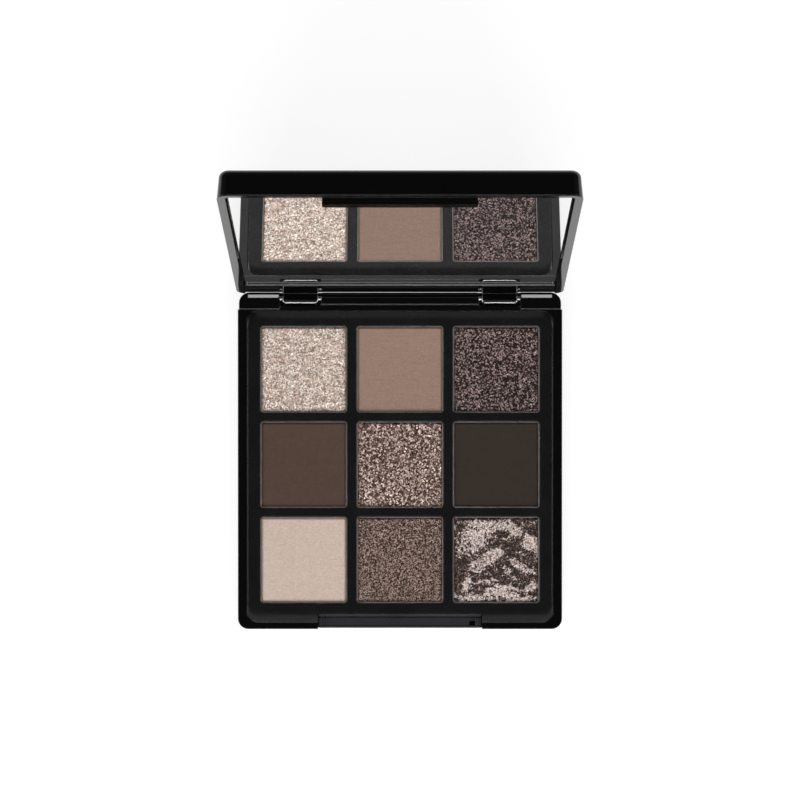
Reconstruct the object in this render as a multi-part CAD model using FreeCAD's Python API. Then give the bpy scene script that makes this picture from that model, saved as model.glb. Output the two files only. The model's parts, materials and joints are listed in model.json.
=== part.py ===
"""Square nine-pan eyeshadow palette: hinged mirror lid, push latch, pans and powders.

Units are millimetres. X runs left to right, -Y is the front with the latch, +Y is the
hinge side and +Z is up. The origin is the centre of the flat underside. The lid is
modelled closed and then swung open about the hinge axis by LID_OPEN.
"""
import FreeCAD, Part
import math
import os

V = FreeCAD.Vector

# Overall size
WIDTH = 97.5
DEPTH = 101.2
PLAN_R = 3.2
LEDGE_Z = 6.6            # top of the base's border, where the lid rests
LEDGE_EDGE_R = 0.3
UNDERSIDE_EDGE_R = 1.2
FLOOR_T = 1.4            # thickness of the base's floor
GAP = 0.05               # assembly clearance between moulded pieces
SLACK = 0.1              # looser clearance, for lugs in their slots

# Hinge
AXIS_Y = 48.8
AXIS_Z = 6.1
BARREL_R = 1.8           # round of the centre barrel about the axis
BARREL_FRONT_Y = 46.9
BARREL_EDGE_R = 0.35
POCKET_X = (23.9, 36.1)  # pocket for each knuckle, at its front
POCKET_FLARE = 0.8       # the pocket's inner wall slants towards the centre at the rear
POCKET_FRONT_Y = 46.3
POCKET_DEPTH = 2.9       # below the axis
BLOCK_FRONT_Y = 45.5     # corner blocks, outboard of the knuckles
BLOCK_INSET = 0.45
BLOCK_TOP = 1.4          # above the axis
BLOCK_REAR_R = 0.6
RIDGE_X = (36.4, 45.6)   # low ridge along each block's rear edge
RIDGE_Y = (49.0, 50.0, 50.5)
RIDGE_RISE = 0.5
KNUCKLE_X = (24.5, 35.3)
KNUCKLE_FRONT = 1.6      # knuckle's faces, measured from the axis with the lid closed
KNUCKLE_REAR = 1.5
KNUCKLE_END = 1.85
KNUCKLE_HEEL = (0.6, 0.9)   # bevel at the lower rear, starting behind and below the axis
KNUCKLE_WAIST = (0.6, 1.3)  # where the rear face leans out to the arm, above the axis
KNUCKLE_CORNER_R = 1.0
KNUCKLE_EDGE_R = 0.4
PIN_R = 0.6
PIN_X = (14.5, 47.9)
PIN_CHAMFER = 0.12
LID_OPEN = 104.0

# Tray insert, the raised panel that holds the pans
TRAY_X = 46.15           # half width
TRAY_Y = (-48.63, 45.0)
TRAY_R = 3.6
TRAY_TOP_Z = 7.2
TRAY_ROLL = (0.6, 3.4)   # width of the rolled edge, at the sides and at front and rear
TRAY_ROLL_STEPS = 6
TRAY_MOUTH_R = 0.2       # rounding of the pockets' mouths
SKIRT_T = 1.0
DECK_T = 0.7             # thickness of the panel outside the cups
CUP_WALL = 0.95
CUP_FLOOR_T = 1.0
CORE_W = 0.9             # coring slots between neighbouring cups
SNAP_Y = (-24.9, 20.1)   # centres of the snap lugs along each side
SNAP_LENGTH = 6.0
SNAP_Z = (3.4, 4.2)
SNAP_OUT = 0.3

# Pans and powders
PAN = 26.0
PAN_R = 0.9
PAN_WALL = 0.35
PAN_Z = (3.6, 7.05)
PAN_FOOT_R = 0.25
PAN_RIM_R = 0.12
PAN_PITCH_X = 28.9
PAN_PITCH_Y = 28.62
PAN_CENTRE_Y = -1.06
POWDER_TOP_Z = 6.7
POWDER_GAP = 0.01
POCKET_FLOOR_Z = 3.45
GLUE_DOT_R = 5.0

# Label on the underside
LABEL = (62.0, 42.0, 0.1)
LABEL_R = 1.5
LABEL_RECESS = 0.15
LABEL_MARGIN = 0.2

# Lid
RIM_Z = 6.7              # lid rim when closed
REAR_RIM_Z = 8.55        # lowest edge over the hinge, relieved so that the lid can swing
RELIEF_Y = 45.3
RELIEF_R = 3.2           # plan corners of the rim where the relief starts
LID_TOP_Z = 14.5
LID_DRAFT = 0.6          # how far each wall leans in from rim to top
LID_WALL = 2.25          # width of the rim at the sides
FRONT_WALL = 1.7         # and along the front
RIM_CHAMFER = 0.5        # slope from the rim down to the mirror
COVER_WALL = 1.0
COVER_TOP = 1.2
FLANGE_T = 0.3
SEAM = 0.02              # between the frame's flange and the cover's edge
KNUCKLE_ROOT = 0.2       # how far the knuckles sink into the frame
KNUCKLE_PROUD = 0.1      # how far their pads stand out of the band
PAD_BACK = 0.9           # how far the pads start behind the mirror
RIB_T = 1.0
BAND_Z = 7.35            # face of the band between the mirror and the hinge
BAND_CHAMFER = 0.4
MIRROR_Z = (7.9, 9.0)
MIRROR_REAR_Y = 38.5
MIRROR_GAP = 0.1
MIRROR_R = 1.0
BED_R = 1.2              # corners of the mirror's bed
ADHESIVE_T = 0.15
ADHESIVE_INSET = 2.0
SEAT_T = 1.0
LID_EDGE_R = 2.0

# Latch
LATCH_X = 24.65          # half width of the recess
LATCH_REAR_Y = -46.0
RECESS_R = 0.6
BUTTON_X = 24.4
BUTTON_FRONT_Y = -50.5
BUTTON_REAR_Y = -45.7
BUTTON_FLOOR_Z = (3.3, 4.3)
BUTTON_FRONT_T = 1.0
BUTTON_FRONT_R = 0.8
LIP_Y = LATCH_REAR_Y - 0.85
LIP_Z = 5.6              # underside of the lip that holds the lid's tab
LIP_T = (0.15, 0.75)     # at its nose and at its root
LIP_BACK_T = 0.35
END_WALL = (0.7, 1.75)   # left and right ends of the button
END_SLOT = (1.75, 1.4)   # blind slot at the right end, along X and Y
EAR_OUT = 1.4            # ears that stop the button behind the base's front wall
EAR_T = 1.0
BUTTON_ROOM = (0.4, 1.2, 0.15)  # free space beside and behind the button, and roof over it
TAB_X = 20.7
TAB_Y = (-49.3, -48.2)
TAB_Z = (4.6, 5.5)       # foot of the tab
TAB_NOSE = 0.5
HOOK = 0.35              # how far the tab's nose reaches under the button's lip
SPRING_T = 0.2
SPRING_HALF_SPAN = 9.0
SPRING_Z = (2.0, 4.2)


def box(x0, x1, y0, y1, z0, z1):
    return Part.makeBox(x1 - x0, y1 - y0, z1 - z0, V(x0, y0, z0))


def fillet(shape, radius, wanted):
    """Round every edge for which wanted(edge) is true."""
    edges = [edge for edge in shape.Edges if wanted(edge)]
    return shape.makeFillet(radius, edges)


def is_vertical(edge):
    box_ = edge.BoundBox
    return box_.ZLength > 0.01 and box_.XLength < 1e-4 and box_.YLength < 1e-4


def at_height(z):
    return lambda edge: abs(edge.BoundBox.ZMin - z) < 1e-4 and abs(edge.BoundBox.ZMax - z) < 1e-4


def slab(x0, x1, y0, y1, z0, z1, radius):
    """A flat block with rounded plan corners."""
    return fillet(box(x0, x1, y0, y1, z0, z1), radius, is_vertical)


def outline(x0, x1, y0, y1, z, radius):
    """A closed rounded rectangle, as a wire at height z."""
    block = slab(x0, x1, y0, y1, z, z + 1.0, radius)
    face = [f for f in block.Faces if at_height(z)(f)][0]
    return face.OuterWire


def fuse(shapes):
    body = shapes[0].fuse(shapes[1:]) if len(shapes) > 1 else shapes[0]
    return body.removeSplitter()


def rod(x0, x1, radius):
    """A round bar along the hinge axis."""
    return Part.makeCylinder(radius, x1 - x0, V(x0, AXIS_Y, AXIS_Z), V(1, 0, 0))


def both_sides(shape):
    return [shape, shape.mirror(V(0, 0, 0), V(1, 0, 0))]


def pan_centres():
    """Row 1 is next to the hinge and column 1 is on the left."""
    for row in range(3):
        for column in range(3):
            x = (column - 1) * PAN_PITCH_X
            y = PAN_CENTRE_Y + (1 - row) * PAN_PITCH_Y
            yield "r%dc%d" % (row + 1, column + 1), x, y


# ---------------------------------------------------------------- base shell

def prism(profile, x0, x1):
    """Extrude a closed list of (y, z) corners along X."""
    corners = [V(x0, y, z) for y, z in profile + profile[:1]]
    return Part.Face(Part.makePolygon(corners)).extrude(V(x1 - x0, 0, 0))


def front_top_edge(y, z):
    """Picks the edges that lie at depth y and at least as high as z."""
    def wanted(edge):
        size = edge.BoundBox
        return abs(size.YMin - y) < 1e-4 and abs(size.YMax - y) < 1e-4 and size.ZMin > z - 1e-3
    return wanted


def hinge_barrel():
    """Raised strip between the knuckles, rounded about the hinge axis."""
    half_length = POCKET_X[0]
    top = AXIS_Z + BARREL_R
    bottom = AXIS_Z - BARREL_R
    front = box(-half_length, half_length, BARREL_FRONT_Y, AXIS_Y, bottom, top)
    rear = box(-half_length, half_length, AXIS_Y, AXIS_Y + BARREL_R, bottom, AXIS_Z)
    body = fuse([front, rear, rod(-half_length, half_length, BARREL_R)])
    return fillet(body, BARREL_EDGE_R, front_top_edge(BARREL_FRONT_Y, top))


def corner_block():
    """Raised block outboard of the right knuckle, with a low ridge along its rear edge."""
    top = AXIS_Z + BLOCK_TOP
    bottom = AXIS_Z - BARREL_R
    rear = DEPTH / 2
    block = box(POCKET_X[1], WIDTH / 2, BLOCK_FRONT_Y, rear, bottom, top)
    block = fillet(block, BARREL_EDGE_R, front_top_edge(BLOCK_FRONT_Y, top))
    block = fillet(block, BLOCK_REAR_R, front_top_edge(rear, top))
    profile = [(RIDGE_Y[0], top), (RIDGE_Y[1], top + RIDGE_RISE), (RIDGE_Y[2], top - BLOCK_REAR_R / 2),
               (RIDGE_Y[0], top - BLOCK_REAR_R / 2)]
    return fuse([block, prism(profile, RIDGE_X[0], RIDGE_X[1])])


def knuckle_pocket():
    """Space that a knuckle turns in, open to the rear and the top."""
    rear = DEPTH / 2 + 1
    plan = [V(POCKET_X[0], POCKET_FRONT_Y, 0), V(POCKET_X[1], POCKET_FRONT_Y, 0), V(POCKET_X[1], rear, 0),
            V(POCKET_X[0] - POCKET_FLARE, rear, 0), V(POCKET_X[0], POCKET_FRONT_Y, 0)]
    pocket = Part.Face(Part.makePolygon(plan)).extrude(V(0, 0, 2 * LEDGE_Z))
    pocket.translate(V(0, 0, AXIS_Z - POCKET_DEPTH))
    return pocket


def base_shell():
    half_x = WIDTH / 2
    half_y = DEPTH / 2
    body = slab(-half_x, half_x, -half_y, half_y, 0, LEDGE_Z, PLAN_R)
    body = fillet(body, UNDERSIDE_EDGE_R, at_height(0))
    body = fillet(body, LEDGE_EDGE_R, at_height(LEDGE_Z))
    raised = fuse([hinge_barrel()] + both_sides(corner_block()))
    inset_x = half_x - BLOCK_INSET
    inset_plan = slab(-inset_x, inset_x, 0, half_y, -1, 2 * LEDGE_Z, PLAN_R)
    outside = box(-WIDTH, WIDTH, BLOCK_FRONT_Y, DEPTH, -1, 2 * LEDGE_Z).cut(inset_plan)
    body = fuse([body, raised]).cut(outside)

    cavity = slab(-TRAY_X - GAP, TRAY_X + GAP, TRAY_Y[0] - GAP, TRAY_Y[1] + GAP, FLOOR_T, LEDGE_Z + 2, TRAY_R)
    window = box(-LATCH_X, LATCH_X, -half_y - 1, TRAY_Y[0] + 1, FLOOR_T, LEDGE_Z + 2)
    bore = rod(PIN_X[0] - SLACK, half_x + 1, PIN_R + SEAM / 2)
    label_x = LABEL[0] / 2 + LABEL_MARGIN
    label_y = LABEL[1] / 2 + LABEL_MARGIN
    label = box(-label_x, label_x, -label_y, label_y, -1, LABEL_RECESS)
    cuts = [cavity, window, label] + both_sides(knuckle_pocket()) + both_sides(bore)
    for y in SNAP_Y:
        half = SNAP_LENGTH / 2 + SLACK
        slot = box(TRAY_X - 1, TRAY_X + SNAP_OUT + SLACK, y - half, y + half, SNAP_Z[0] - SLACK, SNAP_Z[1] + SLACK)
        cuts += both_sides(slot)
    return body.cut(cuts)


def base_label():
    top = LABEL_RECESS
    return slab(-LABEL[0] / 2, LABEL[0] / 2, -LABEL[1] / 2, LABEL[1] / 2, top - LABEL[2], top, LABEL_R)


def hinge_pin():
    pin = rod(PIN_X[0], PIN_X[1], PIN_R)
    return pin.makeChamfer(PIN_CHAMFER, [edge for edge in pin.Edges if edge.BoundBox.XLength < 1e-4])


# ---------------------------------------------------------------- tray insert

def rolled_edge_plate():
    """The panel's raised top, its edge rolling down along an arc."""
    rise = TRAY_TOP_Z - LEDGE_Z
    radius = (TRAY_ROLL[1] ** 2 + rise ** 2) / (2 * rise)
    wires = []
    for step in range(TRAY_ROLL_STEPS + 1):
        part = step / TRAY_ROLL_STEPS
        in_x = TRAY_ROLL[0] * part
        in_y = TRAY_ROLL[1] * part
        z = TRAY_TOP_Z - (radius - math.sqrt(radius ** 2 - (TRAY_ROLL[1] - in_y) ** 2))
        wires.append(outline(-TRAY_X + in_x, TRAY_X - in_x, TRAY_Y[0] + in_y, TRAY_Y[1] - in_y, z, TRAY_R - in_x))
    return Part.makeLoft(wires, True, False)


def tray_insert():
    skirt_outer = slab(-TRAY_X, TRAY_X, TRAY_Y[0], TRAY_Y[1], FLOOR_T, LEDGE_Z, TRAY_R)
    skirt_inner = slab(-TRAY_X + SKIRT_T, TRAY_X - SKIRT_T, TRAY_Y[0] + SKIRT_T, TRAY_Y[1] - SKIRT_T,
                       FLOOR_T - 1, LEDGE_Z - DECK_T, TRAY_R - SKIRT_T)
    reach = PAN / 2 + GAP
    cups_x = PAN_PITCH_X + reach + CUP_WALL
    cups_y = PAN_PITCH_Y + reach + CUP_WALL
    cups = box(-cups_x, cups_x, PAN_CENTRE_Y - cups_y, PAN_CENTRE_Y + cups_y, POCKET_FLOOR_Z - CUP_FLOOR_T, LEDGE_Z)
    body = fuse([skirt_outer.cut(skirt_inner), cups, rolled_edge_plate()])

    cuts = []
    for name, x, y in pan_centres():
        pocket = slab(x - reach, x + reach, y - reach, y + reach, POCKET_FLOOR_Z, TRAY_TOP_Z + 1, PAN_R + GAP)
        cuts.append(pocket)
    half_core = CORE_W / 2
    for side in (-0.5, 0.5):
        x = side * PAN_PITCH_X
        y = PAN_CENTRE_Y + side * PAN_PITCH_Y
        cuts.append(box(x - half_core, x + half_core, -DEPTH, DEPTH, 0, LEDGE_Z - 1).common(cups))
        cuts.append(box(-WIDTH, WIDTH, y - half_core, y + half_core, 0, LEDGE_Z - 1).common(cups))
    body = body.cut(cuts)

    notch = slab(-LATCH_X, LATCH_X, TRAY_Y[0] - 2, LATCH_REAR_Y, 0, TRAY_TOP_Z + 1, RECESS_R)
    room_x = BUTTON_X + EAR_OUT + BUTTON_ROOM[0]
    room = box(-room_x, room_x, TRAY_Y[0] - 1, LATCH_REAR_Y + BUTTON_ROOM[1], 0, LEDGE_Z - BUTTON_ROOM[2])
    body = body.cut([notch, room])

    lugs = []
    for y in SNAP_Y:
        lug = box(TRAY_X - 0.5, TRAY_X + SNAP_OUT, y - SNAP_LENGTH / 2, y + SNAP_LENGTH / 2, SNAP_Z[0], SNAP_Z[1])
        lugs += both_sides(lug)
    body = fuse([body] + lugs)

    def pocket_mouth(edge):
        size = edge.BoundBox
        inside = abs(size.YMax - PAN_CENTRE_Y) < cups_y and abs(size.YMin - PAN_CENTRE_Y) < cups_y
        return at_height(TRAY_TOP_Z)(edge) and inside and size.XMax < cups_x and size.XMin > -cups_x

    return fillet(body, TRAY_MOUTH_R, pocket_mouth)


def pan(x, y):
    half = PAN / 2
    outer = slab(x - half, x + half, y - half, y + half, PAN_Z[0], PAN_Z[1], PAN_R)
    outer = fillet(outer, PAN_FOOT_R, at_height(PAN_Z[0]))
    half -= PAN_WALL
    inner = slab(x - half, x + half, y - half, y + half, PAN_Z[0] + PAN_WALL, PAN_Z[1] + 1, PAN_R - PAN_WALL)
    return fillet(outer.cut(inner), PAN_RIM_R, at_height(PAN_Z[1]))


def powder(x, y):
    half = PAN / 2 - PAN_WALL - POWDER_GAP
    low = PAN_Z[0] + PAN_WALL
    return slab(x - half, x + half, y - half, y + half, low, POWDER_TOP_Z, PAN_R - PAN_WALL)


def pan_adhesive_pads():
    thickness = PAN_Z[0] - POCKET_FLOOR_Z
    pads = [Part.makeCylinder(GLUE_DOT_R, thickness, V(x, y, POCKET_FLOOR_Z)) for name, x, y in pan_centres()]
    return Part.makeCompound(pads)


# ---------------------------------------------------------------- latch

def latch_button():
    """Push bar: front wall, floor, and a sloped lip at the rear that holds the lid's tab."""
    top = BUTTON_FLOOR_Z[1]
    foot = FLOOR_T + GAP
    inner_y = BUTTON_FRONT_Y + BUTTON_FRONT_T
    floor = box(-BUTTON_X, BUTTON_X, BUTTON_FRONT_Y, BUTTON_REAR_Y, BUTTON_FLOOR_Z[0], top)
    front = box(-BUTTON_X, BUTTON_X, BUTTON_FRONT_Y, inner_y, foot, top)
    face = fillet(fuse([floor, front]), BUTTON_FRONT_R, front_top_edge(BUTTON_FRONT_Y, top))
    rear = box(-BUTTON_X, BUTTON_X, LIP_Y + LIP_BACK_T, BUTTON_REAR_Y, foot, LIP_Z)
    slope = [(LIP_Y, LIP_Z), (LIP_Y, LIP_Z + LIP_T[0]), (LATCH_REAR_Y, LIP_Z + LIP_T[1]),
             (BUTTON_REAR_Y, LIP_Z + LIP_T[1]), (BUTTON_REAR_Y, LIP_Z)]
    lip = prism(slope, -BUTTON_X, BUTTON_X)
    left_end = box(-BUTTON_X, -BUTTON_X + END_WALL[0], inner_y, BUTTON_REAR_Y, top, LIP_Z)
    right_end = box(BUTTON_X - END_WALL[1], BUTTON_X, inner_y, BUTTON_REAR_Y, top, LIP_Z)
    ear = box(BUTTON_X - EAR_T / 2, BUTTON_X + EAR_OUT, TRAY_Y[0] - SEAM, TRAY_Y[0] + EAR_T, foot, top)
    button = fuse([face, rear, lip, left_end, right_end] + both_sides(ear))
    slot_x = BUTTON_X - END_WALL[1]
    slot_y = inner_y - LIP_T[0]
    return button.cut(box(slot_x - END_SLOT[0], slot_x, slot_y, slot_y + END_SLOT[1], 0, top + 1))


def latch_spring():
    """Arched leaf between the pan cups and the back of the button."""
    back_y = PAN_CENTRE_Y - PAN_PITCH_Y - PAN / 2 - GAP - CUP_WALL - POWDER_GAP
    front_y = BUTTON_REAR_Y + POWDER_GAP
    rise = back_y - front_y
    radius = (SPRING_HALF_SPAN ** 2 + rise ** 2) / (2 * rise)
    centre = V(0, front_y + radius, SPRING_Z[0])
    height = SPRING_Z[1] - SPRING_Z[0]
    ring = Part.makeCylinder(radius, height, centre).cut(Part.makeCylinder(radius - SPRING_T, height, centre))
    span = SPRING_HALF_SPAN
    return ring.common(box(-span, span, BUTTON_REAR_Y, back_y, SPRING_Z[0], SPRING_Z[1]))


# ---------------------------------------------------------------- lid, modelled closed

def lid_outline(inset, z):
    """The lid's drafted outline at height z, moved inwards by inset."""
    edge = inset + LID_DRAFT * (z - RIM_Z) / (LID_TOP_Z - RIM_Z)
    half_x = WIDTH / 2 - edge
    half_y = DEPTH / 2 - edge
    return outline(-half_x, half_x, -half_y, half_y, z, PLAN_R - edge)


def lid_slab(inset, z0, z1):
    return Part.makeLoft([lid_outline(inset, z0), lid_outline(inset, z1)], True, True)


def rear_relief(rear_y, top_z):
    """What is removed over the hinge, leaving rounded ends on the side rims."""
    half_x = WIDTH / 2
    kept = slab(-half_x, half_x, -DEPTH / 2, rear_y, -1, top_z + 1, RELIEF_R)
    return box(-WIDTH, WIDTH, rear_y - RELIEF_R, DEPTH, 0, top_z).cut(kept)


def lid_cover():
    body = lid_slab(0, RIM_Z + FLANGE_T + SEAM, LID_TOP_Z)
    body = fillet(body, LID_EDGE_R, at_height(LID_TOP_Z))
    hollow = lid_slab(COVER_WALL, 0, LID_TOP_Z - COVER_TOP)
    relief = rear_relief(RELIEF_Y - FLANGE_T - SEAM, REAR_RIM_Z + FLANGE_T + SEAM)
    return body.cut([hollow, relief])


def knuckle(x0, x1):
    """Arm from the lid frame down past the pin, its visible outline softly rounded."""
    top = REAR_RIM_Z + KNUCKLE_ROOT
    front = AXIS_Y - KNUCKLE_FRONT
    rear = AXIS_Y + KNUCKLE_REAR
    end = AXIS_Z - KNUCKLE_END
    arm_rear = DEPTH / 2 - COVER_WALL - LID_DRAFT - GAP
    profile = [(front, top), (front, end), (AXIS_Y + KNUCKLE_HEEL[0], end), (rear, AXIS_Z - KNUCKLE_HEEL[1]),
               (rear, AXIS_Z + KNUCKLE_WAIST[0]), (arm_rear, AXIS_Z + KNUCKLE_WAIST[1]), (arm_rear, top)]
    body = prism(profile, x0, x1)
    body = fillet(body, KNUCKLE_CORNER_R, lambda edge: at_height(end)(edge) and edge.BoundBox.XLength < 1e-4)
    body = fillet(body, KNUCKLE_EDGE_R,
                  lambda edge: edge.BoundBox.YMax < front + 1e-4 and edge.BoundBox.ZMin < top - 1e-3)
    pad = box(x0, x1, MIRROR_REAR_Y + PAD_BACK, AXIS_Y, BAND_Z - KNUCKLE_PROUD, top)
    return fuse([body, pad])


def catch_tab():
    """Tab on the lid's front rim, with a foot that hooks under the button's lip."""
    nose_y = LIP_Y + HOOK
    blade = box(-TAB_X, TAB_X, TAB_Y[0], TAB_Y[1], TAB_Z[0], RIM_Z + 1)
    profile = [(TAB_Y[0], TAB_Z[0]), (nose_y - TAB_NOSE, TAB_Z[0]), (nose_y, TAB_Z[0] + TAB_NOSE),
               (nose_y, TAB_Z[1]), (TAB_Y[0], TAB_Z[1])]
    return fuse([blade, prism(profile, -TAB_X, TAB_X)])


def lid_frame():
    half_x = WIDTH / 2
    half_y = DEPTH / 2
    seat_z = MIRROR_Z[1] + ADHESIVE_T
    roof_z = LID_TOP_Z - COVER_TOP - GAP
    inner_x = half_x - LID_WALL - RIM_CHAMFER
    inner_front = -half_y + FRONT_WALL + RIM_CHAMFER
    core = lid_slab(COVER_WALL + GAP, RIM_Z, roof_z)
    flange = lid_slab(0, RIM_Z, RIM_Z + FLANGE_T)
    step = lid_slab(0, RIM_Z, REAR_RIM_Z + FLANGE_T).common(rear_relief(RELIEF_Y - FLANGE_T, LID_TOP_Z))
    body = fuse([core, flange, step])
    mirror_bed = slab(-inner_x, inner_x, inner_front, MIRROR_REAR_Y, 0, seat_z, BED_R)
    mouth = [outline(-inner_x - grow, inner_x + grow, inner_front - grow, half_y + 1, z, MIRROR_R)
             for grow, z in ((RIM_CHAMFER, RIM_Z), (0, RIM_Z + RIM_CHAMFER))]
    slope = [(MIRROR_REAR_Y - 0.01, BAND_Z + BAND_CHAMFER), (MIRROR_REAR_Y - 0.01, BAND_Z),
             (MIRROR_REAR_Y + BAND_CHAMFER, BAND_Z)]
    band = box(-inner_x, inner_x, MIRROR_REAR_Y - 1, half_y + 1, 0, BAND_Z)
    hollow = slab(-inner_x, inner_x, inner_front, half_y - LID_WALL, seat_z + SEAT_T, LID_TOP_Z, BED_R)
    body = body.cut([mirror_bed, Part.makeLoft(mouth, True, True), prism(slope, -inner_x, inner_x), band,
                     rear_relief(RELIEF_Y, REAR_RIM_Z), hollow])
    rib = box(-inner_x, inner_x, -RIB_T / 2, RIB_T / 2, seat_z, roof_z)
    body = fuse([body, rib, catch_tab()] + both_sides(knuckle(KNUCKLE_X[0], KNUCKLE_X[1])))
    bore = rod(KNUCKLE_X[0] - 1, KNUCKLE_X[1] + 1, PIN_R + GAP)
    return body.cut(both_sides(bore))


def mirror_slab(z0, z1, inset):
    inner_x = WIDTH / 2 - LID_WALL - RIM_CHAMFER - inset
    front = -DEPTH / 2 + FRONT_WALL + RIM_CHAMFER + inset
    return slab(-inner_x, inner_x, front, MIRROR_REAR_Y - inset, z0, z1, MIRROR_R)


def opened(shape):
    turned = shape.copy()
    turned.rotate(V(0, AXIS_Y, AXIS_Z), V(-1, 0, 0), LID_OPEN)
    return turned


# ---------------------------------------------------------------- export

def build():
    nodes = {
        "base_shell": base_shell(),
        "base_label": base_label(),
        "tray_insert": tray_insert(),
        "pan_adhesive_pads": pan_adhesive_pads(),
        "latch_button": latch_button(),
        "latch_spring": latch_spring(),
        "lid_cover": opened(lid_cover()),
        "lid_frame": opened(lid_frame()),
        "mirror": opened(mirror_slab(MIRROR_Z[0], MIRROR_Z[1], MIRROR_GAP)),
        "mirror_adhesive": opened(mirror_slab(MIRROR_Z[1], MIRROR_Z[1] + ADHESIVE_T, ADHESIVE_INSET)),
    }
    nodes["hinge_pin_right"], nodes["hinge_pin_left"] = both_sides(hinge_pin())
    for name, x, y in pan_centres():
        nodes["pan_" + name] = pan(x, y)
        nodes["powder_" + name] = powder(x, y)
    return nodes


os.makedirs("parts", exist_ok=True)
for node_name, node_shape in build().items():
    node_shape.exportStep("parts/%s.step" % node_name)
    print(node_name, len(node_shape.Solids), node_shape.isValid(), round(node_shape.Volume, 2))
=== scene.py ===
import bpy
import json
import math
import numpy as np
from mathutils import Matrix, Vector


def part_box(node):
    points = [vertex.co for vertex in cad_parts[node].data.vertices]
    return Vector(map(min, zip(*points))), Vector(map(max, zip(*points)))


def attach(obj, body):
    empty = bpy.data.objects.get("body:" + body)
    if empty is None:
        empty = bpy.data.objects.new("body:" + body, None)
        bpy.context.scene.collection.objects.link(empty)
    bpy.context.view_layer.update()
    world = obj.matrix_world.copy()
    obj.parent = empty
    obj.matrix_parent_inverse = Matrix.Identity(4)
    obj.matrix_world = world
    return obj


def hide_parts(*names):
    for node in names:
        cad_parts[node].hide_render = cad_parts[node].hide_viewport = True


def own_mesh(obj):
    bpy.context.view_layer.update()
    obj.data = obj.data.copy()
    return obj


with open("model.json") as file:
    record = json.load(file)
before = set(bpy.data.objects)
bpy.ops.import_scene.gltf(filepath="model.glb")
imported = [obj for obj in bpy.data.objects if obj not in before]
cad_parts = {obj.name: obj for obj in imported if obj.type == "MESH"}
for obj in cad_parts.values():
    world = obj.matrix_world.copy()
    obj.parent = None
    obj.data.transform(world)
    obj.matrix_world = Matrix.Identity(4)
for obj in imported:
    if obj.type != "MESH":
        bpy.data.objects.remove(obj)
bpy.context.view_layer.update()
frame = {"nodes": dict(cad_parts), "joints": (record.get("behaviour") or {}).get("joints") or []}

MM = 0.001


def joint(name):
    return [entry for entry in frame["joints"] if entry["name"] == name][0]


# The lid is shown open at rest, and closes at the low end of its hinge's range.
LID_OPEN = math.radians(-joint("lid_hinge")["range_deg"][0])


# ------------------------------------------------------------------ shader helpers

class Nodes:
    """The node tree of a material or a world, with one short call per kind of node."""

    def __init__(self, owner):
        owner.use_nodes = True
        self.tree = owner.node_tree
        self.tree.nodes.clear()

    def node(self, kind, inputs=None, **settings):
        made = self.tree.nodes.new("ShaderNode" + kind)
        for key, value in settings.items():
            setattr(made, key, value)
        for key, value in (inputs or {}).items():
            if isinstance(value, bpy.types.NodeSocket):
                self.tree.links.new(value, made.inputs[key])
            else:
                made.inputs[key].default_value = value
        return made

    def math(self, operation, a, b=0.0):
        return self.node("Math", {0: a, 1: b}, operation=operation).outputs[0]

    def weighted(self, a, b, share):
        """This share of a, with b making up the rest."""
        return self.math("ADD", self.math("MULTIPLY", a, share), self.math("MULTIPLY", b, 1.0 - share))

    def vector(self, operation, a, b=(0.0, 0.0, 0.0)):
        return self.node("VectorMath", {0: a, 1: b}, operation=operation).outputs["Vector"]

    def dot(self, a, b):
        return self.node("VectorMath", {0: a, 1: b}, operation="DOT_PRODUCT").outputs["Value"]

    def length(self, a):
        return self.node("VectorMath", {0: a}, operation="LENGTH").outputs["Value"]

    def part(self, vector, place):
        """One of a vector's three numbers, by its place from 0 to 2."""
        return self.node("SeparateXYZ", {0: vector}).outputs[place]

    def ramp(self, value, low, high, out_low=0.0, out_high=1.0, ends="LINEAR"):
        inputs = {"Value": value, "From Min": low, "From Max": high, "To Min": out_low, "To Max": out_high}
        return self.node("MapRange", inputs, interpolation_type=ends).outputs["Result"]

    def layered(self, share, under, over):
        return self.node("MixShader", {0: share, 1: under, 2: over}).outputs[0]


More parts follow.
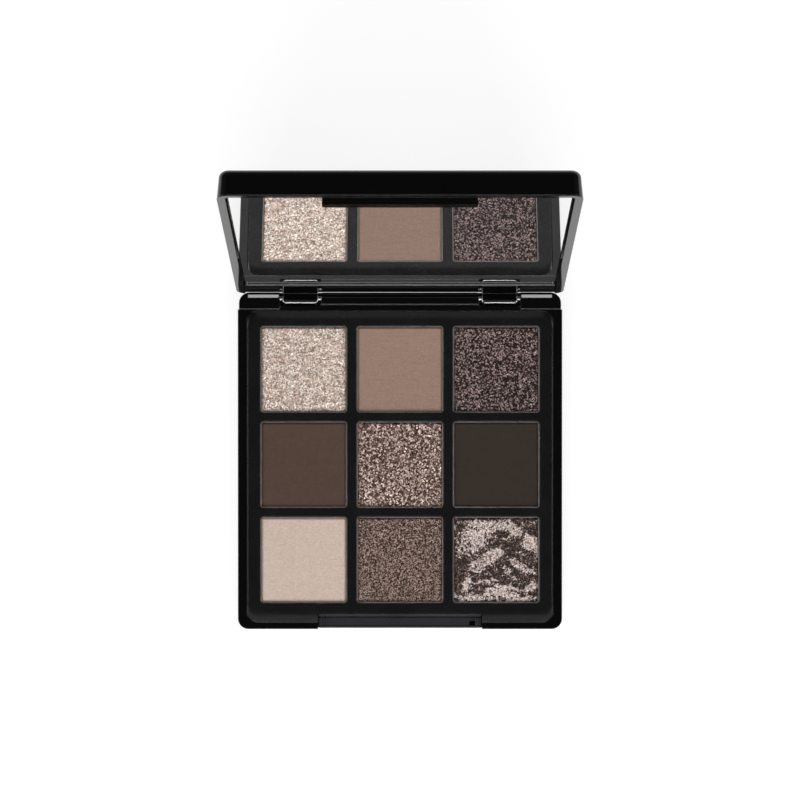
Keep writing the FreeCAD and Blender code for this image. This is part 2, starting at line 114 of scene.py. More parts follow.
class Shader(Nodes):
    """A material, with patterns measured in millimetres on the object."""

    def __init__(self, name):
        self.material = bpy.data.materials.new(name)
        super().__init__(self.material)
        coords = self.node("TexCoord")
        self.object_normal = coords.outputs["Normal"]
        self.mm = self.vector("MULTIPLY", coords.outputs["Object"], (1 / MM,) * 3)

    def stretched(self, scale):
        return self.vector("MULTIPLY", self.mm, scale)

    def noise(self, per_mm, detail=3.0, roughness=0.55, vector=None, distortion=0.0):
        inputs = {"Vector": vector or self.mm, "Scale": per_mm, "Detail": detail,
                  "Roughness": roughness, "Distortion": distortion}
        return self.node("TexNoise", inputs).outputs["Fac"]

    def cells(self, per_mm, vector=None):
        """A random colour for each cell of an irregular mosaic."""
        return self.node("TexVoronoi", {"Vector": vector or self.mm, "Scale": per_mm}).outputs["Color"]

    def blend(self, factor, a, b):
        return self.node("MixRGB", {"Fac": factor, "Color1": a, "Color2": b}).outputs[0]

    def colour_steps(self, value, stops):
        made = self.node("ValToRGB", {"Fac": value})
        elements = made.color_ramp.elements
        while len(elements) < len(stops):
            elements.new(0.5)
        for element, (place, colour) in zip(elements, stops):
            element.position = place
            element.color = rgb(colour)
        return made.outputs["Color"]

    def bump(self, height, depth_mm, normal=None):
        inputs = {"Height": height, "Strength": 1.0, "Distance": depth_mm * MM}
        if normal is not None:
            inputs["Normal"] = normal
        return self.node("Bump", inputs).outputs["Normal"]

    def rounded_edges(self, radius_mm):
        return self.node("Bevel", {"Radius": radius_mm * MM}, samples=6).outputs["Normal"]

    def principled(self, inputs):
        return self.node("BsdfPrincipled", inputs).outputs["BSDF"]

    def finish(self, surface):
        self.node("OutputMaterial", {"Surface": surface})
        return self.material


def grey(value):
    return (value, value, value, 1.0)


def rgb(colour, gain=1.0):
    return tuple(min(channel * gain, 1.0) for channel in colour) + (1.0,)


def hairlines(s, stretch):
    """Faint scratches of handling in patches, as a 0 to 1 mask."""
    lines = s.noise(1.0, detail=2.0, roughness=0.5, vector=s.stretched(stretch))
    patches = s.noise(0.05, detail=2.0)
    return s.math("MULTIPLY", s.ramp(lines, 0.66, 0.72), s.ramp(patches, 0.5, 0.7))


# ------------------------------------------------------------------ case materials

PLASTIC_IOR = 1.5

# The rounded edges of the lid's knuckles get a painted highlight: their colour is turned a bright metallic
# grey that stands in for the light these edges catch. The painted highlight fades out between the two
# values of each pair.
KNUCKLE_HIGHLIGHT_FROM_AXIS_MM = (3.4, 4.0)
KNUCKLE_HIGHLIGHT_FROM_MIDDLE_MM = (36.0, 36.5)
KNUCKLE_HIGHLIGHT_FLATNESS = (0.93, 0.985)        # 1 where the surface faces along one of the lid's own axes
KNUCKLE_HIGHLIGHT_GREY = 0.42

# Painted shade on the latch button, by distance behind its front face: along the front edge and in the
# corner under the lip, with the lip itself darker too
LATCH_FRONT_SHADE_MM = (0.75, 1.0)
LATCH_CORNER_SHADE_START_MM = (3.1, 3.3)
LATCH_CORNER_SHADE_END_MM = (3.62, 3.68)
LATCH_LIP_MM = (3.66, 3.72)
LATCH_LIP_SHADE = 0.55


def painted_knuckle_highlight(s):
    """Mask of the painted highlight: 1 on the rounded edges of the lid's knuckles and 0 elsewhere."""
    lid_right = (1, 0, 0)
    lid_rear = (0, math.cos(LID_OPEN), -math.sin(LID_OPEN))
    lid_up = (0, math.sin(LID_OPEN), math.cos(LID_OPEN))
    flatness = 0.0
    for axis in (lid_right, lid_rear, lid_up):
        flatness = s.math("MAXIMUM", s.math("ABSOLUTE", s.dot(s.object_normal, axis)), flatness)
    pivot = tuple(value / MM for value in joint("lid_hinge")["pos_m"])
    offset = s.vector("SUBTRACT", s.mm, pivot)
    from_axis = s.length(s.vector("MULTIPLY", offset, (0, 1, 1)))
    from_middle = s.math("ABSOLUTE", s.part(s.mm, 0))
    near_axis = s.ramp(from_axis, *KNUCKLE_HIGHLIGHT_FROM_AXIS_MM, 1.0, 0.0)
    near_middle = s.ramp(from_middle, *KNUCKLE_HIGHLIGHT_FROM_MIDDLE_MM, 1.0, 0.0)
    near = s.math("MULTIPLY", near_axis, near_middle)
    return s.math("MULTIPLY", near, s.ramp(flatness, *KNUCKLE_HIGHLIGHT_FLATNESS, 1.0, 0.0))


def gloss_moulding(name, albedo, roughness, knuckle_highlight=False):
    """Polished black ABS with faint smears, hairlines and softened edges, and if asked a painted highlight
    on the knuckles' rounded edges.
    """
    s = Shader(name)
    smear = s.noise(0.07, detail=5.0, roughness=0.6, distortion=1.2)
    hair = s.math("MAXIMUM", hairlines(s, (0.15, 7.0, 0.15)), hairlines(s, (6.0, 0.2, 0.2)))
    smeared = s.ramp(smear, 0.35, 0.75, roughness, roughness + 0.02)
    ripple = s.noise(0.25, detail=2.0)
    normal = s.bump(ripple, depth_mm=0.0015, normal=s.rounded_edges(radius_mm=0.16))
    normal = s.bump(s.math("SUBTRACT", 1.0, hair), depth_mm=0.0004, normal=normal)
    colour = s.blend(s.noise(0.4, detail=3.0), grey(albedo), grey(albedo * 1.5))
    inputs = {"Base Color": colour, "IOR": PLASTIC_IOR, "Normal": normal,
              "Roughness": s.math("ADD", smeared, s.math("MULTIPLY", hair, 0.04))}
    if knuckle_highlight:
        # painted highlight: the knuckles' rounded edges are made bright metallic grey
        highlight_mask = painted_knuckle_highlight(s)
        inputs["Base Color"] = s.blend(highlight_mask, colour, grey(KNUCKLE_HIGHLIGHT_GREY))
        inputs["Metallic"] = highlight_mask
    return s.finish(s.principled(inputs))


def satin_moulding(name, albedo, roughness, sheen):
    """Fine spark-eroded black ABS with a little powder dust, as on the pan tray."""
    s = Shader(name)
    grain = s.noise(7.0, detail=4.0, roughness=0.7)
    cloud = s.noise(0.12, detail=4.0)
    dust = s.ramp(s.noise(2.6, detail=1.0, roughness=0.3), 0.74, 0.78)
    rough = s.ramp(cloud, 0.3, 0.7, roughness, roughness + 0.08)
    normal = s.bump(grain, depth_mm=0.0012, normal=s.rounded_edges(radius_mm=0.12))
    colour = s.blend(cloud, grey(albedo), grey(albedo * 1.35))
    colour = s.blend(s.math("MULTIPLY", dust, 0.06), colour, rgb((0.25, 0.2, 0.17)))
    return s.finish(s.principled({"Base Color": colour, "Roughness": rough, "IOR": PLASTIC_IOR,
                                  "Specular IOR Level": sheen, "Normal": normal}))


def latch_moulding(name, albedo):
    """Blue-grey satin ABS with painted shade along the front edge and in the corner under the lip, and
    darker on the lip.
    """
    s = Shader(name)
    grain = s.noise(7.0, detail=4.0, roughness=0.7)
    cloud = s.noise(0.12, detail=4.0)
    brushed = s.noise(1.0, detail=3.0, roughness=0.6, vector=s.stretched((0.05, 3.0, 1.0)))
    front_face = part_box("latch_button")[0][1] / MM
    back = s.math("SUBTRACT", s.part(s.mm, 1), front_face)
    front_edge_shade = s.ramp(back, *LATCH_FRONT_SHADE_MM, 1.0, 0.0)
    corner_shade_start = s.ramp(back, *LATCH_CORNER_SHADE_START_MM)
    corner_shade_end = s.ramp(back, *LATCH_CORNER_SHADE_END_MM, 1.0, 0.0)
    corner_shade = s.math("MULTIPLY", corner_shade_start, corner_shade_end)
    lip = s.ramp(back, *LATCH_LIP_MM, 0.0, LATCH_LIP_SHADE)
    # painted shade: darker colour and weaker sheen along the front edge and in the corner under the lip;
    # the lip is darker as well
    dark = s.math("MAXIMUM", s.math("MAXIMUM", front_edge_shade, corner_shade), lip)
    tint = (albedo, albedo, albedo * 1.12)
    colour = s.blend(cloud, rgb(tint), rgb(tint, 1.35))
    colour = s.blend(s.math("MULTIPLY", s.ramp(brushed, 0.4, 0.6), 0.35), colour, rgb(tint, 0.55))
    colour = s.blend(dark, colour, rgb(tint, 0.12))
    inputs = {"Base Color": colour, "Roughness": s.ramp(cloud, 0.3, 0.7, 0.24, 0.32), "IOR": PLASTIC_IOR,
              "Specular IOR Level": s.ramp(dark, 0.0, 1.0, 0.4, 0.15),
              "Normal": s.bump(grain, depth_mm=0.0012, normal=s.rounded_edges(radius_mm=0.12))}
    return s.finish(s.principled(inputs))


def pressed_metal(name, tint, roughness):
    """Thin bright tinplate or drawn steel, faintly brushed and tarnished."""
    s = Shader(name)
    brush = s.noise(1.0, detail=3.0, roughness=0.6, vector=s.stretched((0.5, 0.5, 14.0)))
    tarnish = s.noise(0.5, detail=4.0)
    colour = s.blend(s.ramp(tarnish, 0.35, 0.75), rgb(tint), rgb(tint, 0.78))
    rough = s.ramp(brush, 0.3, 0.7, roughness, roughness + 0.12)
    normal = s.bump(brush, depth_mm=0.002, normal=s.rounded_edges(radius_mm=0.06))
    inputs = {"Base Color": colour, "Metallic": 1.0, "Roughness": rough, "Normal": normal}
    return s.finish(s.principled(inputs))


def silvered_glass(name, facing):
    """Mirror face with a trace of dust, and a dull green-grey ground edge."""
    s = Shader(name)
    is_face = s.ramp(s.dot(s.object_normal, facing), 0.9, 0.97)
    silver = s.principled({"Base Color": rgb((0.90, 0.905, 0.90)), "Metallic": 1.0, "Roughness": 0.0})
    dust = s.node("BsdfDiffuse", {"Color": grey(0.9)}).outputs[0]
    haze = s.noise(0.09, detail=4.0, roughness=0.6, distortion=0.8)
    face = s.layered(s.ramp(haze, 0.3, 0.7, 0.004, 0.010), silver, dust)
    ground = s.noise(4.0, detail=3.0)
    edge_colour = s.blend(ground, rgb((0.30, 0.36, 0.34)), rgb((0.46, 0.52, 0.50)))
    edge = s.principled({"Base Color": edge_colour, "Roughness": 0.35,
                         "Normal": s.bump(ground, depth_mm=0.01)})
    return s.finish(s.layered(is_face, edge, face))


def plain_paper(name, albedo):
    """Blank satin label stock with a fine tooth."""
    s = Shader(name)
    tooth = s.noise(6.0, detail=4.0, roughness=0.7)
    colour = s.blend(s.noise(0.3, detail=3.0), grey(albedo), grey(albedo * 1.4))
    return s.finish(s.principled({"Base Color": colour, "Roughness": 0.45,
                                  "Normal": s.bump(tooth, depth_mm=0.003)}))


def cured_glue(name):
    """Cloudy cream-coloured hot melt."""
    s = Shader(name)
    cloud = s.noise(0.8, detail=3.0)
    colour = s.blend(cloud, rgb((0.72, 0.68, 0.56)), rgb((0.82, 0.79, 0.7)))
    inputs = {"Base Color": colour, "Roughness": 0.4, "Subsurface Weight": 0.2,
              "Subsurface Scale": 0.5 * MM, "Normal": s.bump(cloud, depth_mm=0.02)}
    return s.finish(s.principled(inputs))


def paint_case():
    mirror_facing = (0.0, -math.sin(LID_OPEN), -math.cos(LID_OPEN))
    gloss = gloss_moulding("gloss_black_abs", albedo=0.0014, roughness=0.05)
    frame_gloss_highlighted = gloss_moulding("frame_black_abs_knuckle_highlight", albedo=0.0016, roughness=0.06, knuckle_highlight=True)
    steel = pressed_metal("drawn_steel", tint=(0.62, 0.62, 0.64), roughness=0.25)
    tinplate = pressed_metal("pan_tinplate", tint=(0.27, 0.255, 0.24), roughness=0.26)
    glue = cured_glue("cured_glue")
    finishes = {
        "base_shell": gloss,
        "lid_cover": gloss,
        "lid_frame": frame_gloss_highlighted,
        "tray_insert": satin_moulding("satin_black_abs", albedo=0.0056, roughness=0.22, sheen=0.27),
        "latch_button": latch_moulding("latch_grey_abs_painted_shade", albedo=0.024),
        "mirror": silvered_glass("silvered_glass", mirror_facing),
        "base_label": plain_paper("blank_label", albedo=0.03),
        "hinge_pin_left": steel,
        "hinge_pin_right": steel,
        "latch_spring": steel,
        "pan_adhesive_pads": glue,
        "mirror_adhesive": glue,
    }
    for node in frame["nodes"]:
        if node.startswith("pan_r"):
            finishes[node] = tinplate
    for node, material in finishes.items():
        mesh = frame["nodes"][node].data
        mesh.materials.clear()
        mesh.materials.append(material)


# ------------------------------------------------------------------ pieces that replace a CAD node

def add_base_piece(name, mesh, material, node):
    """Shows a mesh on the base in place of one CAD node."""
    mesh.materials.append(material)
    piece = bpy.data.objects.new(name, mesh)
    bpy.context.scene.collection.objects.link(piece)
    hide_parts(node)
    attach(piece, "base")
    return piece


# ------------------------------------------------------------------ latch spring

LEAF_THICKNESS_MM = 0.2
LEAF_STEPS = 32


def leaf_mesh(low, high):
    """Arched leaf with its crown towards the button and its two ends at the rear."""
    half = (high[0] - low[0]) / 2
    rise = high[1] - low[1]
    radius = (half ** 2 + rise ** 2) / (2 * rise)
    reach = math.asin(half / radius)
    points = []
    for step in range(LEAF_STEPS + 1):
        turn = reach * (2 * step / LEAF_STEPS - 1)
        for bend in (radius, radius - LEAF_THICKNESS_MM * MM):
            x = bend * math.sin(turn)
            y = min(low[1] + radius - bend * math.cos(turn), high[1])
            points += [(x, y, low[2]), (x, y, high[2])]
    faces = [(0, 1, 3, 2)]
    for step in range(LEAF_STEPS):
        first = 4 * step
        for a, b in ((0, 1), (1, 3), (3, 2), (2, 0)):
            faces.append((first + a, first + 4 + a, first + 4 + b, first + b))
    last = 4 * LEAF_STEPS
    faces.append((last, last + 2, last + 3, last + 1))
    mesh = bpy.data.meshes.new("leaf_spring")
    mesh.from_pydata(points, [], faces)
    return mesh


def add_leaf_spring():
    """Arched steel leaf on the base in place of the CAD spring; the mesh keeps this one shape as the button
    goes in.
    """
    low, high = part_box("latch_spring")
    steel = bpy.data.materials["drawn_steel"]
    piece = add_base_piece("leaf_spring", leaf_mesh(low, high), steel, "latch_spring")
    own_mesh(piece)


# ------------------------------------------------------------------ relief of the pressed powders

GRID = 150                # cells along each side of a powder's top
CORNER_MM = 0.55          # plan corner radius of a powder
RECESS_MM = 0.5           # powder below its pan's rim
EDGE_MM = 0.45            # width of the softened border against the pan
EDGE_DROP_MM = 0.2
REAR_GAP_MM = 0.55        # the press leaves a small gap at the rear edge
REAR_DROP_MM = 0.7

MATTE_UNEVEN_MM = 0.012
FOLD_LEVEL = 1.2          # height of the folds that lies at the pressed level
CRUMB_CELLS = int(GRID * 0.62)
FOIL_CELLS = int(GRID * 0.5)
GRAIN_CELLS = int(GRID * 0.55)


def lattice(cells, rng):
    """Smooth random field from -1 to 1 with about this many cells along a side."""
    knots = rng.uniform(-1.0, 1.0, (cells + 2, cells + 2))
    place = np.linspace(0.0, cells, GRID + 1)
    index = np.minimum(place.astype(int), cells)
    part = place - index
    part = part * part * (3.0 - 2.0 * part)
    across = knots[:, index] * (1.0 - part) + knots[:, index + 1] * part
    return across[index, :] * (1.0 - part[:, None]) + across[index + 1, :] * part[:, None]


def octaves(cells, count, rng, falloff=0.5):
    """Lattices added up, each twice as fine as the one before and weaker by the falloff."""
    total = 0.0
    for step in range(count):
        total = total + lattice(cells * 2 ** step, rng) * falloff ** step
    return total


def creases(cells, count, rng, falloff=0.55):
    """Sharp folds, as in crumpled foil, from 0 up."""
    total = 0.0
    for step in range(count):
        fold = 1.0 - np.abs(lattice(cells * 2 ** step, rng))
        total = total + fold * fold * falloff ** step
    return total


def plan():
    """Grid places across a powder: u to the right and v away from the hinge, both 0 to 1."""
    line = np.linspace(0.0, 1.0, GRID + 1)
    u, v = np.meshgrid(line, line)
    return u, v


def edge_dip(width_mm):
    """0 inside, rising to 1 at the pan's wall."""
    u, v = plan()
    near = np.minimum(np.minimum(u, 1 - u), np.minimum(v, 1 - v)) * width_mm
    return np.clip(1.0 - near / EDGE_MM, 0.0, 1.0) ** 2


def ellipse(u, v, centre_u, centre_v, radius_u, radius_v, turn_deg=0.0):
    """Positive inside a turned ellipse, 1 at its centre."""
    turn = math.radians(turn_deg)
    du = u - centre_u
    dv = v - centre_v
    along = (du * math.cos(turn) + dv * math.sin(turn)) / radius_u
    across = (dv * math.cos(turn) - du * math.sin(turn)) / radius_v
    return 1.0 - np.sqrt(along ** 2 + across ** 2)


def arc_band(u, v, centre_u, centre_v, radius, thickness, start_deg, end_deg):
    """Positive on part of a ring. Angles run from +u towards the hinge."""
    du = u - centre_u
    dv = centre_v - v
    angle = np.degrees(np.arctan2(dv, du))
    inside = (angle > start_deg) & (angle < end_deg)
    ring = 1.0 - np.abs(np.hypot(du, dv) - radius) / thickness
    return np.where(inside, ring, -1.0)


def matte_relief(rng):
    """Nearly flat, with the slight unevenness of a pressed cake."""
    return {"height": MATTE_UNEVEN_MM * octaves(5, 4, rng)}


def grain_relief(depth_mm):
    """Grains over a quarter as much slow unevenness."""
    def relief(rng):
        coarse = 0.25 * depth_mm * octaves(6, 3, rng)
        return {"height": coarse + depth_mm * lattice(GRAIN_CELLS, rng)}
    return relief


def foil_relief(rng):
    """Crumpled folds crossed by slow waves and fine grain."""
    u, v = plan()
    folds_mm = 0.24 * (creases(6, 4, rng, 0.6) - FOLD_LEVEL)
    waves_mm = 0.03 * np.sin((u * 1.1 + v * 2.3) * 6.0 + 2.0 * lattice(3, rng))
    grain_mm = 0.022 * lattice(FOIL_CELLS, rng)
    return {"height": folds_mm + waves_mm + grain_mm}


def cream_swirl(u, v):
    """Positive where cream lies on the marbled powder: dabs and arcs by centre, radii and turn."""
    strokes = [
        ellipse(u, v, 0.24, 0.27, 0.22, 0.14, -22),
        ellipse(u, v, 0.38, 0.10, 0.20, 0.08),
        ellipse(u, v, 0.66, 0.13, 0.16, 0.07, 24) * 0.8,
        ellipse(u, v, 0.90, 0.30, 0.15, 0.11, 42),
        ellipse(u, v, 0.45, 0.47, 0.15, 0.07, -22),
        arc_band(u, v, 0.50, 0.66, 0.23, 0.05, 80, 200),
        ellipse(u, v, 0.82, 0.59, 0.16, 0.04, 25) * 0.6,
        ellipse(u, v, 0.66, 0.66, 0.10, 0.03, 35) * 0.5,
        ellipse(u, v, 0.42, 0.77, 0.17, 0.025, -8),
        ellipse(u, v, 0.62, 0.83, 0.20, 0.030, 6),
        arc_band(u, v, 0.55, 1.18, 0.30, 0.04, 35, 150) * 0.8,
        ellipse(u, v, 0.16, 0.80, 0.05, 0.12, 30),
        ellipse(u, v, 0.26, 0.95, 0.22, 0.05) * 0.7,
        ellipse(u, v, 0.90, 0.84, 0.10, 0.05, -30) * 0.6,
        ellipse(u, v, 0.74, 0.97, 0.24, 0.03) * 0.7,
    ]
    return np.clip(np.max(np.stack(strokes), axis=0), -0.30, 0.34)


def marble_relief(rng):
    """Cream swirled over dark brown with crumbling edges, the cream standing a little higher."""
    u, v = plan()
    u = u + 0.035 * octaves(5, 4, rng)
    v = v + 0.035 * octaves(5, 4, rng)
    streaks = 0.25 * lattice(9, rng) * lattice(34, rng)
    crumble = 0.22 * octaves(16, 3, rng, 0.9) + 0.55 * lattice(CRUMB_CELLS, rng) + streaks
    cream = np.clip(0.5 + 1.9 * (cream_swirl(u, v) - 0.10 + crumble), 0.0, 1.0)
    step_mm = 0.10 * (cream - 1.0)
    folds_mm = 0.03 * (creases(9, 3, rng) - FOLD_LEVEL)
    grain_mm = 0.02 * lattice(CRUMB_CELLS, rng)
    return {"height": step_mm + folds_mm + grain_mm, "cream": cream}


# ------------------------------------------------------------------ mesh of a pressed powder

def rounded_corner(x, y, half):
    """Moves grid places so that the square's corners become arcs."""
    radius = CORNER_MM * MM
    inner = half - radius
    a = np.clip((np.abs(x) - inner) / radius, 0.0, 1.0)
    b = np.clip((np.abs(y) - inner) / radius, 0.0, 1.0)
    new_a = a * np.sqrt(1.0 - b * b / 2.0)
    new_b = b * np.sqrt(1.0 - a * a / 2.0)
    x = np.where((a > 0) & (b > 0), np.sign(x) * (inner + new_a * radius), x)
    y = np.where((a > 0) & (b > 0), np.sign(y) * (inner + new_b * radius), y)
    return x, y


def powder_top(low, high, rim_z, height_mm):
    """Points of the pressed surface, row by row from the hinge."""
    half = (high[0] - low[0]) / 2
    centre_x = (high[0] + low[0]) / 2
    centre_y = (high[1] + low[1]) / 2
    u, v = plan()
    x, y = rounded_corner((u * 2 - 1) * half, (1 - v * 2) * half, half)
    rear_gap = np.clip(1.0 - v * 2 * half / MM / REAR_GAP_MM, 0.0, 1.0)
    height_mm = height_mm - EDGE_DROP_MM * edge_dip(2 * half / MM) - REAR_DROP_MM * rear_gap
    z = rim_z - RECESS_MM * MM + height_mm * MM
    return np.stack([x + centre_x, y + centre_y, z], axis=-1).reshape(-1, 3)


def powder_mesh(name, low, high, rim_z, field):
    """Closed block whose top follows the field's height, in millimetres about the pressed level."""
    top = powder_top(low, high, rim_z, field["height"])
    side = GRID + 1
    number = np.arange(side * side).reshape(side, side)
    quads = np.stack([number[1:, :-1], number[1:, 1:], number[:-1, 1:], number[:-1, :-1]], axis=-1)
    faces = [tuple(quad) for quad in quads.reshape(-1, 4).tolist()]
    smooth = [True] * len(faces)

    rim = np.concatenate([number[0, :-1], number[:-1, -1], number[-1, :0:-1], number[:0:-1, 0]]).tolist()
    foot = top[rim].copy()
    foot[:, 2] = low[2]
    first = side * side
    for place in range(len(rim)):
        after = (place + 1) % len(rim)
        faces.append((rim[place], rim[after], first + after, first + place))
    faces.append(tuple(first + place for place in range(len(rim))))
    smooth += [False] * (len(rim) + 1)

    mesh = bpy.data.meshes.new(name)
    mesh.from_pydata(np.concatenate([top, foot]).tolist(), [], faces)
    mesh.polygons.foreach_set("use_smooth", smooth)
    if "cream" in field:
        layer = mesh.attributes.new("cream", "FLOAT", "POINT")
        values = np.concatenate([field["cream"].reshape(-1), np.zeros(len(rim))])
        layer.data.foreach_set("value", values.astype(np.float32))
    mesh.validate()
    mesh.update()
    return mesh


# ------------------------------------------------------------------ powder materials

CLOTH_PITCH_MM = 0.74     # of the cloth that the mattes are pressed through
MATTE_CLUMPS_PER_MM = 2.6
FLAKE_WARP_MM = 0.35      # how far the flakes' outlines wander
FLAKE_WARP_PER_MM = 2.2
MARBLE_METAL = 0.3        # share of glinting flakes in the marbled powder


def weave(s, pitch_mm):
    """Print of the pressing cloth: a fine over-and-under grid, 0 to 1."""
    turns = 2 * math.pi / pitch_mm
    warp = s.math("SINE", s.math("MULTIPLY", s.part(s.mm, 0), turns))
    weft = s.math("SINE", s.math("MULTIPLY", s.part(s.mm, 1), turns))
    return s.ramp(s.math("MULTIPLY", warp, weft), -1.0, 1.0)


def matte_powder(name, colour):
    """Dull pressed powder with clumps, soft clouds, a cloth print and faint ribs."""
    s = Shader(name)
    grain = s.noise(2.6, detail=5.0, roughness=0.8)
    cloud = s.noise(0.16, detail=4.0)
    cloth = weave(s, CLOTH_PITCH_MM)
    ribs = s.ramp(s.noise(1.0, detail=3.0, roughness=0.6, vector=s.stretched((0.16, 2.4, 1.0))), 0.35, 0.65)
    clump = s.part(s.cells(MATTE_CLUMPS_PER_MM), 0)
    coarse = s.weighted(s.ramp(grain, 0.32, 0.68), clump, share=0.6)
    tone = s.blend(coarse, rgb(colour, 0.66), rgb(colour, 1.34))
    tone = s.blend(s.math("MULTIPLY", s.ramp(cloud, 0.35, 0.7), 0.35), tone, rgb(colour, 1.08))
    tone = s.blend(s.math("MULTIPLY", cloth, 0.34), tone, rgb(colour, 0.60))
    tone = s.blend(s.math("MULTIPLY", ribs, 0.20), tone, rgb(colour, 0.62))
    normal = s.bump(cloth, depth_mm=0.035)
    normal = s.bump(grain, depth_mm=0.04, normal=normal)
    inputs = {"Base Color": tone, "Roughness": 0.92, "Specular IOR Level": 0.25,
              "Sheen Weight": 0.08, "Sheen Roughness": 0.6, "Normal": normal}
    return s.finish(s.principled(inputs))


def flakes(s, size_mm, tilt):
    """Randomly tilted mica flakes: (random value per flake, tilted normal)."""
    wander = s.node("TexNoise", {"Vector": s.mm, "Scale": FLAKE_WARP_PER_MM}).outputs["Color"]
    outline = s.vector("ADD", s.mm, s.vector("MULTIPLY", wander, (FLAKE_WARP_MM,) * 3))
    random = s.cells(1.0 / size_mm, outline)
    away = s.vector("MULTIPLY", s.vector("SUBTRACT", random, (0.5, 0.5, 0.5)), (tilt, tilt, 0.0))
    surface = s.node("NewGeometry").outputs["Normal"]
    normal = s.vector("NORMALIZE", s.vector("ADD", surface, away))
    return s.part(random, 2), normal


def sparkle_powder(name, dark, middle, bright, flake_mm, tilt, metal):
    """Mica-filled powder: a matte ground with this share of tilted, glinting flakes."""
    s = Shader(name)
    value, normal = flakes(s, flake_mm, tilt)
    fine = s.noise(3.4, detail=3.0, roughness=0.7)
    mixed = s.weighted(value, s.ramp(fine, 0.3, 0.7), share=0.72)
    tone = s.colour_steps(mixed, [(0.27, dark), (0.46, middle), (0.60, middle), (0.74, bright)])
    warm = rgb((middle[0] * 1.15, middle[1] * 0.92, middle[2] * 0.85))
    tone = s.blend(s.ramp(s.noise(0.35, detail=2.0), 0.45, 0.75, 0.0, 0.22), tone, warm)
    ground = s.principled({"Base Color": tone, "Roughness": 0.8, "Specular IOR Level": 0.3,
                           "Normal": s.bump(fine, depth_mm=0.05)})
    flake = s.principled({"Base Color": tone, "Metallic": 1.0, "Roughness": 0.34, "Normal": normal})
    return s.finish(s.layered(metal, ground, flake))


def champagne_foil():
    return sparkle_powder("champagne_foil", flake_mm=0.34, tilt=0.7, metal=0.36,
                          dark=(0.252, 0.181, 0.146),
                          middle=(0.621, 0.482, 0.400),
                          bright=(0.970, 0.879, 0.809))


def plum_glitter():
    return sparkle_powder("plum_glitter", flake_mm=0.34, tilt=1.0, metal=0.42,
                          dark=(0.0035, 0.0017, 0.0017),
                          middle=(0.028, 0.017, 0.016),
                          bright=(0.340, 0.244, 0.236))


def rose_taupe_glitter():
    return sparkle_powder("rose_taupe_glitter", flake_mm=0.38, tilt=1.0, metal=0.40,
                          dark=(0.0170, 0.0076, 0.0060),
                          middle=(0.136, 0.083, 0.068),
                          bright=(0.690, 0.530, 0.465))


def brown_satin():
    return sparkle_powder("brown_satin", flake_mm=0.26, tilt=0.8, metal=0.36,
                          dark=(0.0150, 0.0084, 0.0063),
                          middle=(0.0940, 0.0580, 0.0455),
                          bright=(0.500, 0.355, 0.300))


def marbled_cream_brown():
    """Silvery cream over dark brown, following the relief's own mask."""
    s = Shader("marbled_cream_brown")
    mask = s.node("Attribute", attribute_name="cream").outputs["Fac"]
    value, normal = flakes(s, size_mm=0.32, tilt=0.8)
    fine = s.noise(2.4, detail=4.0, roughness=0.8)
    speckle = s.weighted(value, s.ramp(fine, 0.25, 0.75), share=0.5)
    cream = s.colour_steps(speckle, [(0.24, (0.10, 0.066, 0.054)),
                                     (0.44, (0.50, 0.400, 0.360)),
                                     (0.74, (0.97, 0.830, 0.780))])
    brown = s.colour_steps(speckle, [(0.30, (0.005, 0.002, 0.002)),
                                     (0.60, (0.032, 0.014, 0.010)),
                                     (0.84, (0.300, 0.200, 0.165))])
    tone = s.blend(s.ramp(mask, 0.22, 0.78), brown, cream)
    ground = s.principled({"Base Color": tone, "Roughness": 0.75, "Normal": s.bump(fine, depth_mm=0.06)})
    flake = s.principled({"Base Color": tone, "Metallic": 1.0, "Roughness": 0.36, "Normal": normal})
    return s.finish(s.layered(MARBLE_METAL, ground, flake))


def shades():
    """Material, relief and random seed of each shade, by row from the hinge and column from the left."""
    return {
        "r1c1": (champagne_foil(), foil_relief, 11),
        "r1c2": (matte_powder("taupe_matte", (0.326, 0.214, 0.162)), matte_relief, 12),
        "r1c3": (plum_glitter(), grain_relief(0.03), 13),
        "r2c1": (matte_powder("dark_brown_matte", (0.0911, 0.0524, 0.0385)), matte_relief, 21),
        "r2c2": (rose_taupe_glitter(), grain_relief(0.035), 22),
        "r2c3": (matte_powder("espresso_matte", (0.0331, 0.0216, 0.0152)), matte_relief, 23),
        "r3c1": (matte_powder("pale_pink_beige_matte", (0.692, 0.546, 0.463)), matte_relief, 31),
        "r3c2": (brown_satin(), grain_relief(0.022), 32),
        "r3c3": (marbled_cream_brown(), marble_relief, 33),
    }


def add_powders():
    for place, (material, relief, seed) in shades().items():
        node = "powder_" + place
        name = "pressed_powder_" + place
        low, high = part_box(node)
        rim_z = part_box("pan_" + place)[1][2]
        mesh = powder_mesh(name, low, high, rim_z, relief(np.random.default_rng(seed)))
        add_base_piece(name, mesh, material, node)


# ------------------------------------------------------------------ studio

CAMERA_Y = 0.0275
CAMERA_Z = 0.8157
CAMERA_PITCH_DEG = -0.65
CAMERA_LENS_MM = 121.2
SENSOR_WIDTH_MM = 36.0

# The paper floor glows a little, as if lit from below, so that shadows stay pale.
FLOOR_ALBEDO = 0.45
FLOOR_GLOW = 0.72
FLOOR_REACH = 3.0
FLOOR_DROP = 0.00002      # keeps the floor clear of the resting face

# Strengths of a pale grey background. The camera and the mirror see the backdrop. Other reflections
# see walls that darken towards the ceiling, and a soft panel in front. WALL_TOP is the height of a
# direction, and PANEL_TOP and PANEL_BOTTOM its forward part, where each fade begins and ends.
BACKGROUND_GREY = 0.8
BACKDROP_LIGHT = 0.9
WALL_LIGHT = 0.12
CEILING_LIGHT = 0.05
WALL_TOP = (0.50, 0.72)
PANEL_LIGHT = 1.15
PANEL_TOP = (0.24, 0.36)
PANEL_BOTTOM = (0.54, 0.64)

SOFTBOX_DISTANCE = 1.1
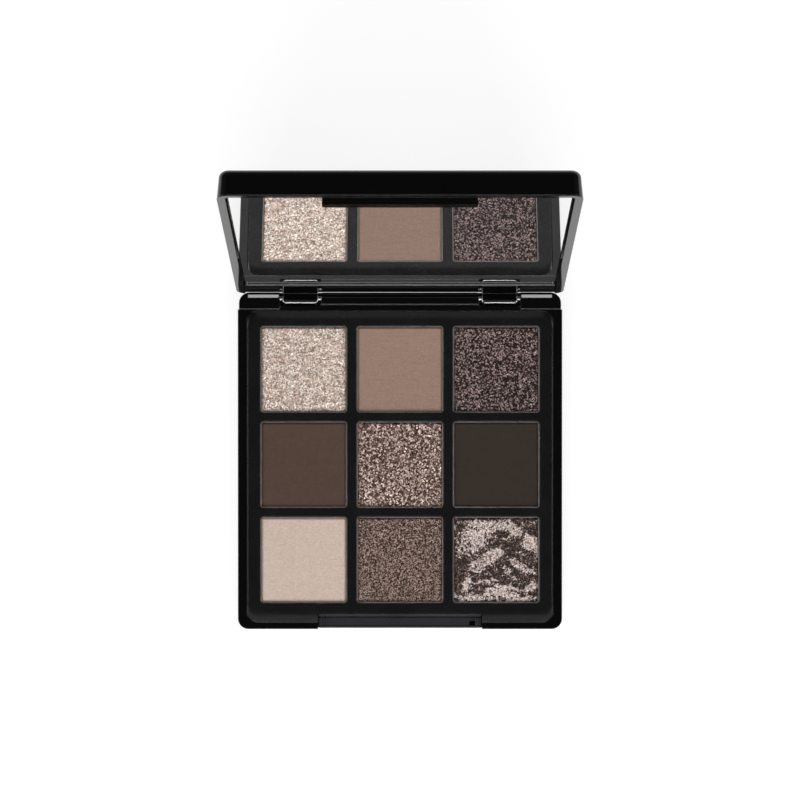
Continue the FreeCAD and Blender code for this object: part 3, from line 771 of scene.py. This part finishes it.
# Name, azimuth and elevation in degrees, size and radiance. Azimuth 0 is behind the hinge, 90 on the right.
SOFTBOXES = [
    ("left_softbox", -90, 38, (0.75, 0.30), 6.0),
    ("right_softbox", 90, 38, (0.75, 0.30), 6.0),
    ("front_softbox", 180, 38, (0.90, 0.13), 9.0),
    ("low_front_softbox", 180, 27, (0.90, 0.12), 10.0),
]


def add_softbox(name, azimuth_deg, elevation_deg, size, radiance):
    """Rectangular soft light aimed at the palette."""
    lamp = bpy.data.lights.new(name, "AREA")
    lamp.shape = "RECTANGLE"
    lamp.size, lamp.size_y = size
    lamp.energy = radiance * math.pi * size[0] * size[1]
    around = math.radians(azimuth_deg)
    up = math.radians(elevation_deg)
    level = SOFTBOX_DISTANCE * math.cos(up)
    holder = bpy.data.objects.new(name, lamp)
    holder.location = (level * math.sin(around), level * math.cos(around), SOFTBOX_DISTANCE * math.sin(up))
    holder.rotation_euler = (math.pi / 2 - up, 0.0, math.pi - around)
    bpy.context.scene.collection.objects.link(holder)


def floor_paper():
    """Pale seamless paper."""
    s = Shader("pale_floor")
    colour = s.blend(s.noise(0.004, detail=2.0), grey(FLOOR_ALBEDO), grey(FLOOR_ALBEDO * 1.03))
    return s.finish(s.principled({"Base Color": colour, "Roughness": 0.7, "Specular IOR Level": 0.1,
                                  "Emission Color": grey(1.0), "Emission Strength": FLOOR_GLOW}))


def add_floor():
    mesh = bpy.data.meshes.new("floor")
    signs = [(-1, -1), (1, -1), (1, 1), (-1, 1)]
    corners = [(x * FLOOR_REACH, y * FLOOR_REACH, -FLOOR_DROP) for x, y in signs]
    mesh.from_pydata(corners, [], [(0, 1, 2, 3)])
    mesh.materials.append(floor_paper())
    floor = bpy.data.objects.new("floor", mesh)
    bpy.context.scene.collection.objects.link(floor)


def add_world():
    """Pale for the camera and the mirror, and a dim room with a front panel for every other ray."""
    world = bpy.data.worlds.new("studio")
    s = Nodes(world)
    direction = s.node("TexCoord").outputs["Generated"]
    height = s.part(direction, 2)
    forward = s.math("MULTIPLY", s.part(direction, 1), -1.0)
    soft = "SMOOTHSTEP"
    walls = s.ramp(height, *WALL_TOP, WALL_LIGHT, CEILING_LIGHT, soft)
    panel_top = s.ramp(forward, *PANEL_TOP, 0.0, PANEL_LIGHT, soft)
    panel_bottom = s.ramp(forward, *PANEL_BOTTOM, 1.0, 0.0, soft)
    strength = s.math("MAXIMUM", walls, s.math("MULTIPLY", panel_top, panel_bottom))
    room = s.node("Background", {"Color": grey(BACKGROUND_GREY), "Strength": strength})
    backdrop = s.node("Background", {"Color": grey(BACKGROUND_GREY), "Strength": BACKDROP_LIGHT})
    path = s.node("LightPath").outputs
    direct = s.math("MAXIMUM", path["Is Camera Ray"], path["Is Singular Ray"])
    s.node("OutputWorld", {"Surface": s.layered(direct, room.outputs[0], backdrop.outputs[0])})
    bpy.context.scene.world = world


def add_camera():
    data = bpy.data.cameras.new("camera")
    data.lens = CAMERA_LENS_MM
    data.sensor_width = SENSOR_WIDTH_MM
    data.clip_start = 0.01
    data.clip_end = 20.0
    camera = bpy.data.objects.new("camera", data)
    camera.location = (0.0, CAMERA_Y, CAMERA_Z)
    camera.rotation_euler = (math.radians(CAMERA_PITCH_DEG), 0.0, 0.0)
    bpy.context.scene.collection.objects.link(camera)
    bpy.context.scene.camera = camera


def add_studio():
    add_floor()
    add_world()
    for softbox in SOFTBOXES:
        add_softbox(*softbox)
    add_camera()
    bpy.context.scene.view_settings.view_transform = "Standard"


paint_case()
add_leaf_spring()
add_powders()
add_studio()
